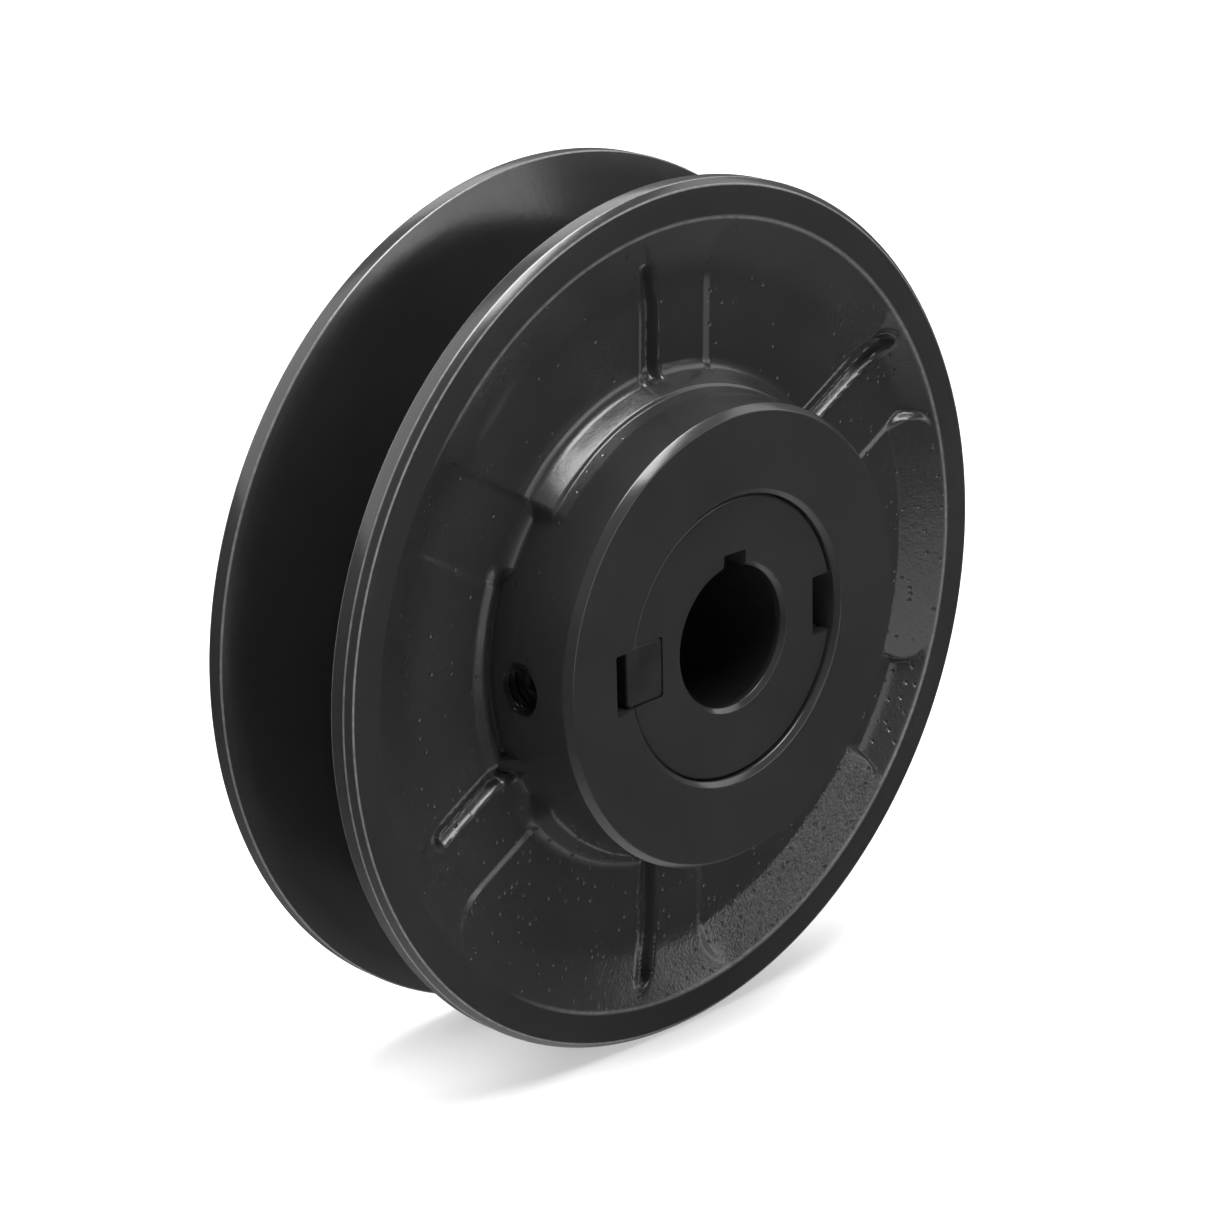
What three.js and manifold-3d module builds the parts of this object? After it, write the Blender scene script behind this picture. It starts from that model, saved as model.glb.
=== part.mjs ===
// Variable-pitch V-belt pulley: a fixed flange with a threaded barrel, an adjustable flange
// screwed onto the barrel, the locking key between them, and two setscrews.
// Units are millimetres. The axis of rotation is Y, -Y is the outboard side and +Z is up.
// The origin lies on the axis, in the middle plane of the belt groove.
import * as THREE from "three";
import { mergeVertices } from "three/addons/utils/BufferGeometryUtils.js";
import Module from "manifold-3d";

const wasm = await Module();
wasm.setup();

const { degToRad } = THREE.MathUtils;

// Rim and belt groove, shared by both flanges
const RIM_RADIUS = 67.95;
const GROOVE_HALF_WIDTH = 12.03;
const GROOVE_HALF_ANGLE = degToRad(17.5);
const NOSE_HALF_GAP = 3.175;
const RIM_LAND = 2.72;
const RIM_CHAMFER = 0.95;
const RIM_BAND_RADIUS = 62;
const FACE_OFFSET = GROOVE_HALF_WIDTH + RIM_LAND + 1;

// Web: six slightly raised pads with shallow channels between them. Each channel is given by
// its bearing in degrees and the distances of its two edges from the line at that bearing.
const PAD_OFFSET = 12;
const PAD_SLOPE_FOOT = 54.5;
const CHANNEL_OFFSET = 11.65;
const CHANNEL_SLOPE_FOOT = 57;
const CHANNELS = [
  { bearing: 30, low: -8.6, high: 8.2 },
  { bearing: 90, low: -8.4, high: 6.2 },
  { bearing: 150, low: -6.9, high: 6.5 },
  { bearing: 210, low: -6.3, high: 8.8 },
  { bearing: 270, low: -6.2, high: 7.9 },
  { bearing: 330, low: -7.4, high: 8.8 },
];

// Narrow grooves along four of the channels, each beside the line at its bearing
const SLOTS = [
  { bearing: 30, offset: 5.8, end: 58.5 },
  { bearing: 90, offset: 3.9, end: 54.5 },
  { bearing: 210, offset: -4.1, end: 52 },
  { bearing: 270, offset: -3.9, end: 57 },
];
const SLOT_WIDTH = 2.3;
const SLOT_DEPTH = 1.2;

// Barrel and bore of the fixed half
const BORE_RADIUS = 11.1125;
const BORE_KEYWAY_WIDTH = 4.76;
const BORE_KEYWAY_TOP = 13.5;
const BARREL_RADIUS = 22.225;
const BARREL_END_Y = -26;
const REAR_HUB_RADIUS = 28.9;
const REAR_HUB_FILLET = 3;
const REAR_HUB_END_Y = 23;
const REAR_SCREW_Y = 17;

// Hub of the adjustable half. A cast collar runs round its foot, except on the side of the
// locking setscrew, where the web is cut back as well.
const HUB_RADIUS = 36;
const HUB_BASE_RADIUS = 38;
const HUB_FILLET = 1.5;
const COLLAR_TOP = 4.6;
const COLLAR_GAP = [141, 218];
const RELIEF = [156, 208];
const RELIEF_DEPTH = 1.1;
const RELIEF_RADIUS = 39.4;
const HUB_FACE_Y = -27.05;
const HUB_BORE_RADIUS = 22.5;
const HUB_SCREW_Y = -17.25;

// Locking key and the two keyways of the barrel
const KEYWAY_TILT = degToRad(2);
const KEYWAY_WIDTH = 9.9;
const KEYWAY_END_Y = 1.5;
const KEYWAY_FLOOR = 15.2;
const SPARE_KEYWAY_FLOOR = 17.7;
const HUB_KEYWAY_TOP = 26.1;
const KEY_WIDTH = 9.4;
const KEY_BOTTOM = 15.45;
const KEY_TOP = 22.9;
const KEY_OUTER_Y = -25.95;
const KEY_LENGTH = 25.4;

// Setscrews, 5/16 inch with a hexagon socket
const SCREW_RADIUS = 3.7;
const SCREW_HOLE_RADIUS = 4;
const SCREW_LENGTH = 9.5;
const SOCKET_ACROSS_FLATS = 3.97;
const SOCKET_DEPTH = 4.5;
const HUB_SCREW_TIP = 23.2;
const SHAFT_SCREW_TIP = 15;

const TURNED_SIDES = 72;

const painted = new THREE.MeshStandardMaterial({
  color: 0x1d1e20,
  roughness: 0.42,
  metalness: 0.1,
});
const darkSteel = new THREE.MeshStandardMaterial({
  color: 0x303134,
  roughness: 0.45,
  metalness: 0.8,
});

// Geometry to solid and back

function solidOf(geometry) {
  const bare = geometry.clone();
  bare.deleteAttribute("normal");
  bare.deleteAttribute("uv");
  const merged = mergeVertices(bare, 1e-4);
  return new wasm.Manifold(
    new wasm.Mesh({
      numProp: 3,
      vertProperties: new Float32Array(merged.attributes.position.array),
      triVerts: new Uint32Array(merged.index.array),
    }),
  );
}

function geometryOf(solid) {
  const mesh = solid.getMesh();
  const geometry = new THREE.BufferGeometry();
  geometry.setAttribute("position", new THREE.BufferAttribute(mesh.vertProperties, 3));
  geometry.setIndex(new THREE.BufferAttribute(mesh.triVerts, 1));
  geometry.computeVertexNormals();
  return geometry;
}

// A ring or disc turned about the Y axis from a closed outline of [radius, y] points,
// listed anticlockwise with the radius to the right and y up.
function turned(outline, sides = TURNED_SIDES) {
  const points = outline.map(([radius, y]) => new THREE.Vector2(radius, y));
  points.push(points[0].clone());
  return solidOf(new THREE.LatheGeometry(points, sides));
}

function box(sizeX, sizeY, sizeZ, x, y, z, turn = 0) {
  const geometry = new THREE.BoxGeometry(sizeX, sizeY, sizeZ);
  geometry.translate(x, y, z);
  geometry.rotateY(-turn);
  return solidOf(geometry);
}

// A box along a radius at the given angle, from the inner to the outer radius
function radialBox(angle, inner, outer, width, yLow, yHigh) {
  const middle = (inner + outer) / 2;
  return box(outer - inner, yHigh - yLow, width, middle, (yLow + yHigh) / 2, 0, angle);
}

// A round bar along a radius at the given angle
function radialBar(angle, inner, outer, radius, y, sides = 24) {
  const geometry = new THREE.CylinderGeometry(radius, radius, outer - inner, sides);
  geometry.rotateZ(-Math.PI / 2);
  geometry.translate((inner + outer) / 2, y, 0);
  geometry.rotateY(-angle);
  return solidOf(geometry);
}

function piece(name, solid, material) {
  const mesh = new THREE.Mesh(geometryOf(solid), material);
  mesh.name = name;
  return mesh;
}

// Part of a turned ring between two angles in degrees
function sector(outline, [low, high]) {
  const steps = 12;
  const reach = 80;
  const shape = new THREE.Shape();
  shape.moveTo(0, 0);
  for (let i = 0; i <= steps; i += 1) {
    const angle = degToRad(low + ((high - low) * i) / steps);
    shape.lineTo(reach * Math.cos(angle), reach * Math.sin(angle));
  }
  shape.closePath();
  const prism = new THREE.ExtrudeGeometry(shape, { depth: 2 * reach, bevelEnabled: false });
  prism.rotateX(Math.PI / 2);
  prism.translate(0, reach, 0);
  return solidOf(prism).intersect(turned(outline));
}

// Channels and grooves of the web, drawn for the outboard side and cut out of a flange whose
// whole web stands at the height of the pads
function webPattern(footRadius) {
  const front = -FACE_OFFSET - 1;
  const dish = turned([
    [footRadius, front],
    [RIM_BAND_RADIUS, front],
    [RIM_BAND_RADIUS, -FACE_OFFSET],
    [CHANNEL_SLOPE_FOOT, -CHANNEL_OFFSET],
    [footRadius, -CHANNEL_OFFSET],
  ]);
  const middle = (front - CHANNEL_OFFSET) / 2;
  const channels = CHANNELS.map(({ bearing, low, high }) =>
    box(RIM_RADIUS, 8, high - low, RIM_RADIUS / 2, middle, (low + high) / 2, degToRad(bearing)),
  );
  const floor = -CHANNEL_OFFSET + SLOT_DEPTH;
  const slots = SLOTS.map(({ bearing, offset, end }) => {
    const length = end - footRadius + 0.8;
    const depth = floor - front;
    const bar = new THREE.BoxGeometry(length, depth, SLOT_WIDTH);
    bar.translate(end - length / 2, (floor + front) / 2, offset);
    bar.rotateY(-degToRad(bearing));
    const tip = new THREE.CylinderGeometry(SLOT_WIDTH / 2, SLOT_WIDTH / 2, depth, 16);
    tip.translate(end, (floor + front) / 2, offset);
    tip.rotateY(-degToRad(bearing));
    return solidOf(bar).add(solidOf(tip));
  });
  return wasm.Manifold.union(channels).intersect(dish).add(wasm.Manifold.union(slots));
}

// The flange's section from the nose round the rim to the foot of the hub,
// for the adjustable flange; the fixed flange is its mirror image.
function flangeOutline(hubRadius, fillet) {
  const noseRadius =
    RIM_RADIUS - (GROOVE_HALF_WIDTH - NOSE_HALF_GAP) / Math.tan(GROOVE_HALF_ANGLE);
  return [
    [noseRadius, -NOSE_HALF_GAP],
    [RIM_RADIUS, -GROOVE_HALF_WIDTH],
    [RIM_RADIUS, -GROOVE_HALF_WIDTH - RIM_LAND],
    [RIM_RADIUS - RIM_CHAMFER, -FACE_OFFSET],
    [RIM_BAND_RADIUS, -FACE_OFFSET],
    [PAD_SLOPE_FOOT, -PAD_OFFSET],
    [hubRadius + fillet, -PAD_OFFSET],
    [hubRadius + 0.3 * fillet, -PAD_OFFSET - 0.3 * fillet],
    [hubRadius, -PAD_OFFSET - fillet],
  ];
}

function adjustableFlange() {
  const footY = -PAD_OFFSET - HUB_FILLET;
  const outline = [
    [HUB_BORE_RADIUS, -NOSE_HALF_GAP],
    ...flangeOutline(HUB_BASE_RADIUS, HUB_FILLET),
    [HUB_BASE_RADIUS - 1.5, footY - 2.5],
    [HUB_RADIUS, footY - COLLAR_TOP],
    [HUB_RADIUS, HUB_FACE_Y + 1.75],
    [HUB_RADIUS - 1.35, HUB_FACE_Y],
    [HUB_BORE_RADIUS + 1, HUB_FACE_Y],
    [HUB_BORE_RADIUS, HUB_FACE_Y + 1],
  ].reverse();
  const front = footY - COLLAR_TOP - 1;
  const collarGap = sector([
    [HUB_RADIUS, front],
    [HUB_BASE_RADIUS + 2, front],
    [HUB_BASE_RADIUS + 2, -PAD_OFFSET],
    [HUB_RADIUS + HUB_FILLET, -PAD_OFFSET],
    [HUB_RADIUS, footY],
  ], COLLAR_GAP);
  const relief = sector([
    [HUB_RADIUS, front],
    [RELIEF_RADIUS, front],
    [RELIEF_RADIUS, -CHANNEL_OFFSET + RELIEF_DEPTH],
    [HUB_RADIUS, -CHANNEL_OFFSET + RELIEF_DEPTH],
  ], RELIEF);
  const keySide = Math.PI + KEYWAY_TILT;
  return turned(outline)
    .subtract(webPattern(HUB_BASE_RADIUS + HUB_FILLET))
    .subtract(collarGap)
    .subtract(relief)
    .subtract(radialBox(keySide, 20, HUB_KEYWAY_TOP, KEYWAY_WIDTH, HUB_FACE_Y - 1, 0))
    .subtract(radialBar(keySide, 20, 40, SCREW_HOLE_RADIUS, HUB_SCREW_Y));
}

function fixedFlangeAndBarrel() {
  const mirrored = flangeOutline(REAR_HUB_RADIUS, REAR_HUB_FILLET).map(([r, y]) => [r, -y]);
  const outline = [
    [BORE_RADIUS, BARREL_END_Y + 0.6],
    [BORE_RADIUS + 0.6, BARREL_END_Y],
    [BARREL_RADIUS - 0.6, BARREL_END_Y],
    [BARREL_RADIUS, BARREL_END_Y + 0.6],
    [BARREL_RADIUS, NOSE_HALF_GAP],
    ...mirrored,
    [REAR_HUB_RADIUS, REAR_HUB_END_Y - 0.8],
    [REAR_HUB_RADIUS - 0.8, REAR_HUB_END_Y],
    [BORE_RADIUS + 0.6, REAR_HUB_END_Y],
    [BORE_RADIUS, REAR_HUB_END_Y - 0.6],
  ];
  const outside = BARREL_RADIUS + 1;
  const front = BARREL_END_Y - 1;
  const back = REAR_HUB_END_Y + 1;
  const keySide = Math.PI + KEYWAY_TILT;
  const spareSide = KEYWAY_TILT;
  const top = Math.PI / 2;
  return turned(outline)
    .subtract(webPattern(REAR_HUB_RADIUS + REAR_HUB_FILLET).mirror([0, 1, 0]))
    .subtract(radialBox(keySide, KEYWAY_FLOOR, outside, KEYWAY_WIDTH, front, KEYWAY_END_Y))
    .subtract(radialBox(spareSide, SPARE_KEYWAY_FLOOR, outside, KEYWAY_WIDTH, front, KEYWAY_END_Y))
    .subtract(radialBox(top, 5, BORE_KEYWAY_TOP, BORE_KEYWAY_WIDTH, front, back))
    .subtract(radialBar(top, 5, 40, SCREW_HOLE_RADIUS, REAR_SCREW_Y));
}

function lockingKey() {
  const bottomToTop = KEY_TOP - KEY_BOTTOM;
  const chamfer = 0.4;
  const shape = new THREE.Shape();
  shape.moveTo(KEY_BOTTOM + chamfer, -KEY_WIDTH / 2);
  shape.lineTo(KEY_BOTTOM + bottomToTop - chamfer, -KEY_WIDTH / 2);
  shape.lineTo(KEY_TOP, -KEY_WIDTH / 2 + chamfer);
  shape.lineTo(KEY_TOP, KEY_WIDTH / 2 - chamfer);
  shape.lineTo(KEY_TOP - chamfer, KEY_WIDTH / 2);
  shape.lineTo(KEY_BOTTOM + chamfer, KEY_WIDTH / 2);
  shape.lineTo(KEY_BOTTOM, KEY_WIDTH / 2 - chamfer);
  shape.lineTo(KEY_BOTTOM, -KEY_WIDTH / 2 + chamfer);
  shape.closePath();
  const geometry = new THREE.ExtrudeGeometry(shape, { depth: KEY_LENGTH, bevelEnabled: false });
  geometry.rotateX(Math.PI / 2);
  geometry.translate(0, KEY_OUTER_Y + KEY_LENGTH, 0);
  geometry.rotateY(-(Math.PI + KEYWAY_TILT));
  return solidOf(geometry);
}

// A setscrew along a radius, with its cup point at the tip radius and its socket outwards
function setscrew(angle, tip, y) {
  const outline = [
    [0, 0],
    [SCREW_RADIUS - 1.4, 0],
    [SCREW_RADIUS, 1.4],
    [SCREW_RADIUS, SCREW_LENGTH - 0.5],
    [SCREW_RADIUS - 0.5, SCREW_LENGTH],
    [0, SCREW_LENGTH],
  ];
  const points = outline.map(([radius, height]) => new THREE.Vector2(radius, height));
  const body = solidOf(new THREE.LatheGeometry(points, 24));
  const socketRadius = SOCKET_ACROSS_FLATS / Math.sqrt(3);
  const socket = new THREE.CylinderGeometry(socketRadius, socketRadius, SOCKET_DEPTH + 1, 6);
  socket.translate(0, SCREW_LENGTH - SOCKET_DEPTH / 2 + 0.5, 0);
  const geometry = geometryOf(body.subtract(solidOf(socket)));
  geometry.rotateZ(-Math.PI / 2);
  geometry.translate(tip, y, 0);
  geometry.rotateY(-angle);
  return solidOf(geometry);
}

const group = new THREE.Group();
group.add(
  piece("fixed_flange_and_barrel", fixedFlangeAndBarrel(), painted),
  piece("adjustable_flange", adjustableFlange(), painted),
  piece("locking_key", lockingKey(), darkSteel),
  piece("locking_setscrew", setscrew(Math.PI + KEYWAY_TILT, HUB_SCREW_TIP, HUB_SCREW_Y), darkSteel),
  piece("shaft_setscrew", setscrew(Math.PI / 2, SHAFT_SCREW_TIP, REAR_SCREW_Y), darkSteel),
);

export default group;
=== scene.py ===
"""Adjustable V-belt pulley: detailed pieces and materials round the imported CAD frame.

Lengths in the shape functions are millimetres, and each mesh is scaled to metres when it is made.
The axis of rotation is Y, with the outboard side at -Y, and +Z is up. Bearings and angles round the
axis start at +X and go anticlockwise as seen from the outboard side.
"""
import math

import bmesh
import bpy
import numpy as np
from mathutils import Matrix, Vector


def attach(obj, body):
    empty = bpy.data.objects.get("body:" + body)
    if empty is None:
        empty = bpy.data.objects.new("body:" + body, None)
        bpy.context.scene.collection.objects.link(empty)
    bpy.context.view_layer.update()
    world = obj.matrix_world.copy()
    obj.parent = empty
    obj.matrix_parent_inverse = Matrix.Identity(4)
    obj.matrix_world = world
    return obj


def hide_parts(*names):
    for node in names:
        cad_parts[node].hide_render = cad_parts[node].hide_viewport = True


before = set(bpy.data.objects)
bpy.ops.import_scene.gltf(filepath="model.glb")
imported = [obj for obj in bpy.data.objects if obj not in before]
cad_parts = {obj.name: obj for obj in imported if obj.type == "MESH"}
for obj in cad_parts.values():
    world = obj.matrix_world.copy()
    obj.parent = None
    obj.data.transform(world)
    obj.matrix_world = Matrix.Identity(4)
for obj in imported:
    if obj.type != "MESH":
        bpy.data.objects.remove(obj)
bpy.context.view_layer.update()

MM = 0.001

# Rim and belt groove. Each nose stands 0.075 mm further back than in the solids, so that the two stay
# just clear of each other when the groove is closed.
RIM_RADIUS = 67.95
GROOVE_HALF_WIDTH = 12.03
GROOVE_HALF_ANGLE = math.radians(17.5)
NOSE_HALF_GAP = 3.25
NOSE_RADIUS = RIM_RADIUS - (GROOVE_HALF_WIDTH - NOSE_HALF_GAP) / math.tan(GROOVE_HALF_ANGLE)
RIM_BACK = 14.7
RIM_CHAMFER = 0.95
FACE_OFFSET = 15.75
RIM_BAND_RADIUS = 62.0

# Web pattern: six shallow channels run from the hub to the rim, with raised pads between them. The
# offsets are distances from the groove's middle plane, and a slope foot is the radius where the rise
# to the rim band starts. The last three say over what distance a slope's foot is softened.
PAD_OFFSET = 12.0
PAD_SLOPE_FOOT = 54.5
PAD_OUTER_RADIUS = 61.5
PAD_CORNER = 5.0
CHANNEL_OFFSET = 11.65
CHANNEL_SLOPE_FOOT = 58.0
SOFT_SLOPE_FOOT = 53.5
CRISP = 0.3
FIRM = 0.7
SOFT = 1.8
# bearing in degrees, then the channel's two edges, measured across its bearing
CHANNELS = (
    (30, -8.6, 8.2), (90, -8.4, 6.2), (150, -6.9, 6.5),
    (210, -6.3, 8.8), (270, -6.2, 7.9), (330, -7.4, 8.8),
)
# bearing in degrees, offset across it, distance to the outer end, sideways bend at that end
SLOTS = ((30, 5.8, 58.5, 0.0), (90, 3.9, 54.5, 1.6), (210, -4.1, 52.0, 0.0), (270, -3.9, 57.0, -2.4))
SLOT_HALF_WIDTH = 1.15
SLOT_DEPTH = 1.2
SLOT_LIP = 0.42
SLOT_BEND_LENGTH = 7
LIP_SPREAD = 0.42
# round the locking setscrew's hole, the web is cut back and the hub has no cast collar: the bearings
# between which each of the two lies, then the degrees over which it fades in and out
RELIEF_SECTOR = (154.5, 209.5, 3.5, 3.5)
COLLAR_GAP_SECTOR = (139.0, 221.0, 3.5, 7.0)
RELIEF_RADIUS = 39.9
RELIEF_DEPTH = 1.1
RELIEF_LIP = 0.55

# Sizes and heights of the sand casting's unevenness, the bearing of the coarser sand at the mould's
# lower right, and the bearing at which the rim band's inner edge gets least of its paler edge colour,
# which is thinned paint and partly a painted highlight
BROAD_LUMP = 8.0
BROAD_LUMP_HEIGHT = 0.05
FINE_LUMP = 2.8
FINE_LUMP_HEIGHT = 0.03
COARSE_BEARING = 301
COARSE_EVERYWHERE = 0.25
UNLIT_EDGE_BEARING = 190

# Hubs, barrel and bore
HUB_RADIUS = 36.0
HUB_BASE_RADIUS = 38.0
HUB_FILLET = 2.3
COLLAR_TILT = 67
HUB_FACE_Y = -27.05
HUB_CHAMFER = 0.95
HUB_CHAMFER_LENGTH = 1.2
HUB_BORE_RADIUS = 22.33
HUB_BORE_CHAMFER = 0.8
HUB_BORE_CHAMFER_LENGTH = 0.75
BARREL_RADIUS = 22.225
BARREL_END_Y = -26.0
BARREL_CHAMFER = 0.5
BARREL_PITCH = 1.5875
BARREL_THREAD_DEPTH = 0.75
BORE_RADIUS = 11.1125
BORE_CHAMFER = 0.7
REAR_HUB_RADIUS = 28.9
REAR_HUB_FILLET = 3.0
REAR_HUB_END_Y = 23.0
REAR_HUB_CHAMFER = 0.9

# Keyways and locking key
KEYWAY_TILT = math.radians(2)
KEY_SIDE = math.pi + KEYWAY_TILT
KEYWAY_WIDTH = 9.5
KEYWAY_END_Y = 1.5
KEYWAY_FLOOR = 15.4
KEYWAY_CORNER = 0.35
SPARE_KEYWAY_FLOOR = 17.7
HUB_KEYWAY_TOP = 26.1
BORE_KEYWAY_WIDTH = 4.76
BORE_KEYWAY_TOP = 13.5
BORE_KEYWAY_CORNER = 0.2
KEY_WIDTH = 9.4
KEY_BOTTOM = 15.45
KEY_TOP = 22.9
KEY_OUTER_Y = -25.95
KEY_LENGTH = 25.4
KEY_CHAMFER = 0.5
KEY_END_CHAMFER = 0.25

# Setscrews (5/16 inch, 18 turns per inch) and their tapped holes
SCREW_RADIUS = 3.7
SCREW_THREAD_DEPTH = 0.55
SCREW_LENGTH = 9.5
SCREW_PITCH = 1.411
SCREW_POINT_RADIUS = 2.3
SCREW_POINT_SLOPE = 1.1
SCREW_CUP_DEPTH = 0.9
# rings of the cup point: depth behind its edge, and radius
SCREW_CUP_RINGS = ((0.35, 1.2), (0.0, 1.75))
SOCKET_ACROSS_FLATS = 3.97
SOCKET_DEPTH = 4.4
SOCKET_CONE = 0.8
SOCKET_CHAMFER = 0.45
SOCKET_MOUTH_RADIUS = 2.55
THREAD_SINK = 0.25
TAPPED_MINOR = 3.35
TAPPED_MAJOR = 3.97
TAPPED_SHADE = 4.2
COUNTERSINK = 0.25
COUNTERSINK_HEIGHT = 0.6
COUNTERSINK_SLOPE = 0.9
HUB_SCREW_Y = -17.25
HUB_SCREW_TIP = 23.2
REAR_SCREW_Y = 17.0
REAR_SCREW_TIP = 15.0

# How finely the shapes are divided
AROUND = 1440
ROUNDING_STEP = 12
WEB_STEP = 0.05
SLOPE_ROW = 0.22
FLOOR_ROW = 0.3
FLOOR_ROWS_FROM = 53.0
FOOT_ROWS = 24

# Camera: the view of the photograph. It is aimed at a point on the axis, near the front flange, and
# then moved across the view. Its distance and shifts are metres.
VIEW_AZIMUTH = math.radians(-45.233)
VIEW_ELEVATION = math.radians(19.053)
VIEW_DISTANCE = 0.54597
VIEW_AIM_Y = -14.65
VIEW_SHIFT_RIGHT = -0.01102
VIEW_SHIFT_UP = 0.002044
LENS_MM = 106.31
SENSOR_MM = 36

# Enamel: scale, detail and roughness of its noises, the size of its blow holes' cells, the heights of
# its bumps in metres, and its colours
SAND = (2600.0, 2.0, 0.55)
GRAVEL = (2100.0, 1.5, 0.5)
GRAIN = (900.0, 3.0, 0.6)
CLOUD = (45.0, 3.0, 0.6)
HOLE_CELLS = 780.0
SAND_HEIGHT = 0.00006
GRAVEL_HEIGHT = 0.00026
GRAIN_HEIGHT = 0.00011
HOLE_DEPTH = 0.00022
PAINT_DARK = (0.0148, 0.0148, 0.0150)
PAINT_LIGHT = (0.0180, 0.0180, 0.0182)
# the paler edge colour is thinned paint and partly a painted highlight, and the near-black one after it
# is painted shade in the groove, the holes and the bore
PAINT_WORN_AND_LIT = (0.13, 0.127, 0.124)
PAINT_UNLIT = (0.0016, 0.0013, 0.0011)

# Black oxide: the same for its two noises, its bump and its colours
OXIDE_GRAIN = (900.0, 4.0, 0.6)
OXIDE_CLOUD = (160.0, 3.0, 0.5)
OXIDE_HEIGHT = 0.00004
OXIDE_DARK = (0.018, 0.018, 0.019)
OXIDE_LIGHT = (0.045, 0.044, 0.043)

# Area lights: name, width and height in metres, watts, place and the point that it faces
CENTRE = (0, 0, 0)
LIGHTS = (
    ("overhead", (0.75, 0.7), 25.0, (-0.05, -0.04, 0.9), CENTRE),
    ("front", (0.9, 0.9), 3.4, (0.05, -1.08, 0.08), CENTRE),
    ("front_right", (0.55, 0.45), 2.1, (0.55, -1.0, 0.28), CENTRE),
    ("back_left", (0.9, 0.9), 4.4, (-0.50, 0.76, 0.68), CENTRE),
    ("right", (0.6, 0.6), 2.2, (0.86, -0.3, 0.62), CENTRE),
    ("backdrop", (0.9, 0.9), 5.0, (0.75, 0.85, 0.8), (0.75, 0.85, 0)),
)
# Brightness of the room from straight down (0) over the horizon (0.5) to straight up (1)
ROOM_DOWN = 1.0
ROOM_UP = 0.34
ROOM_BETWEEN = ((0.11, 0.40), (0.17, 0.20), (0.30, 0.05), (0.50, 0.12), (0.62, 0.26))
# Floor: half its side and its gap under the rim in metres, its shade and how much light it gives off
FLOOR_HALF = 6.0
FLOOR_CLEARANCE = 0.0002
FLOOR_SHADE = 0.6
FLOOR_GLOW = 0.42


# Primes that mix a lattice point's three coordinates into one table index
HASH_PRIMES = (73856093, 19349663, 83492791)
NOISE_TABLE = 4096


# ---------------------------------------------------------------- small helpers

def smoothstep(low, high, x):
    t = np.clip((x - low) / (high - low), 0.0, 1.0)
    return t * t * (3 - 2 * t)


def bell(x, width):
    """1 where x is 0, falling away smoothly on both sides."""
    return np.exp(-(x / width) ** 2)


def lattice_noise(points, scale, seed):
    """Smooth value noise, about -1 to 1, with features `scale` millimetres across."""
    rng = np.random.default_rng(seed)
    table = rng.uniform(-1, 1, NOISE_TABLE)
    p = points / scale
    base = np.floor(p).astype(np.int64)
    f = p - base
    f = f * f * (3 - 2 * f)
    total = np.zeros(len(points))
    for dx in (0, 1):
        for dy in (0, 1):
            for dz in (0, 1):
                key = ((base[:, 0] + dx) * HASH_PRIMES[0]) ^ ((base[:, 1] + dy) * HASH_PRIMES[1])
                key = key ^ ((base[:, 2] + dz) * HASH_PRIMES[2])
                weight = (
                    np.where(dx, f[:, 0], 1 - f[:, 0])
                    * np.where(dy, f[:, 1], 1 - f[:, 1])
                    * np.where(dz, f[:, 2], 1 - f[:, 2])
                )
                total += weight * table[key % NOISE_TABLE]
    return total


def rounded(outline):
    """Points (radius, y, cast) along an open outline of (radius, y, corner rounding, cast) corners."""
    out = []
    last = len(outline) - 1
    for i, (x, y, fillet, cast) in enumerate(outline):
        here = np.array([x, y], float)
        if i in (0, last) or fillet <= 0:
            out.append((x, y, cast))
            continue
        before = np.array(outline[i - 1][:2], float) - here
        after = np.array(outline[i + 1][:2], float) - here
        len_a = np.linalg.norm(before)
        len_b = np.linalg.norm(after)
        before /= len_a
        after /= len_b
        angle = math.acos(float(np.clip(before @ after, -1, 1)))
        most = 0.49 * min(len_a, len_b)
        cut = min(fillet / math.tan(angle / 2), most)
        radius = cut * math.tan(angle / 2)
        middle = before + after
        middle /= np.linalg.norm(middle)
        centre = here + middle * radius / math.sin(angle / 2)
        start = here + before * cut - centre
        turn = math.pi - angle
        side = math.copysign(1, before[0] * after[1] - before[1] * after[0])
        count = max(2, int(math.degrees(turn) / ROUNDING_STEP) + 1)
        for k in range(count + 1):
            a = -side * turn * k / count
            c, s = math.cos(a), math.sin(a)
            out.append((centre[0] + c * start[0] - s * start[1],
                        centre[1] + s * start[0] + c * start[1], cast))
    return out


def subdivided(points, longest):
    """The same path with no stretch longer than `longest`."""
    out = [points[0]]
    for a, b in zip(points, points[1:]):
        length = math.hypot(b[0] - a[0], b[1] - a[1])
        count = max(1, math.ceil(length / longest))
        for k in range(1, count + 1):
            t = k / count
            out.append((a[0] + t * (b[0] - a[0]), a[1] + t * (b[1] - a[1]), b[2]))
    return out


def mesh_object(name, vertices_mm, faces, body=None, slot=None, *replaced):
    mesh = bpy.data.meshes.new(name)
    mesh.from_pydata((np.asarray(vertices_mm) * MM).tolist(), [], faces)
    mesh.update()
    obj = bpy.data.objects.new(name, mesh)
    bpy.context.scene.collection.objects.link(obj)
    if body:
        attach(obj, body)
    if replaced:
        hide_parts(*replaced)
    return obj


def grid_faces(rows, columns, close_rows=True):
    """Faces of a grid of points whose columns go right round, and whose rows do so too if asked."""
    faces = []
    for i in range(rows if close_rows else rows - 1):
        i2 = (i + 1) % rows
        for j in range(columns):
            j2 = (j + 1) % columns
            faces.append((i * columns + j, i * columns + j2, i2 * columns + j2, i2 * columns + j))
    return faces


def end_faces(rows, columns):
    """The two faces that close an open grid of rings at its ends."""
    return [tuple(range(columns)), tuple(reversed(range((rows - 1) * columns, rows * columns)))]


def fix_normals(obj):
    bm = bmesh.new()
    bm.from_mesh(obj.data)
    bmesh.ops.recalc_face_normals(bm, faces=bm.faces)
    bm.to_mesh(obj.data)
    bm.free()
    return obj


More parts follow.
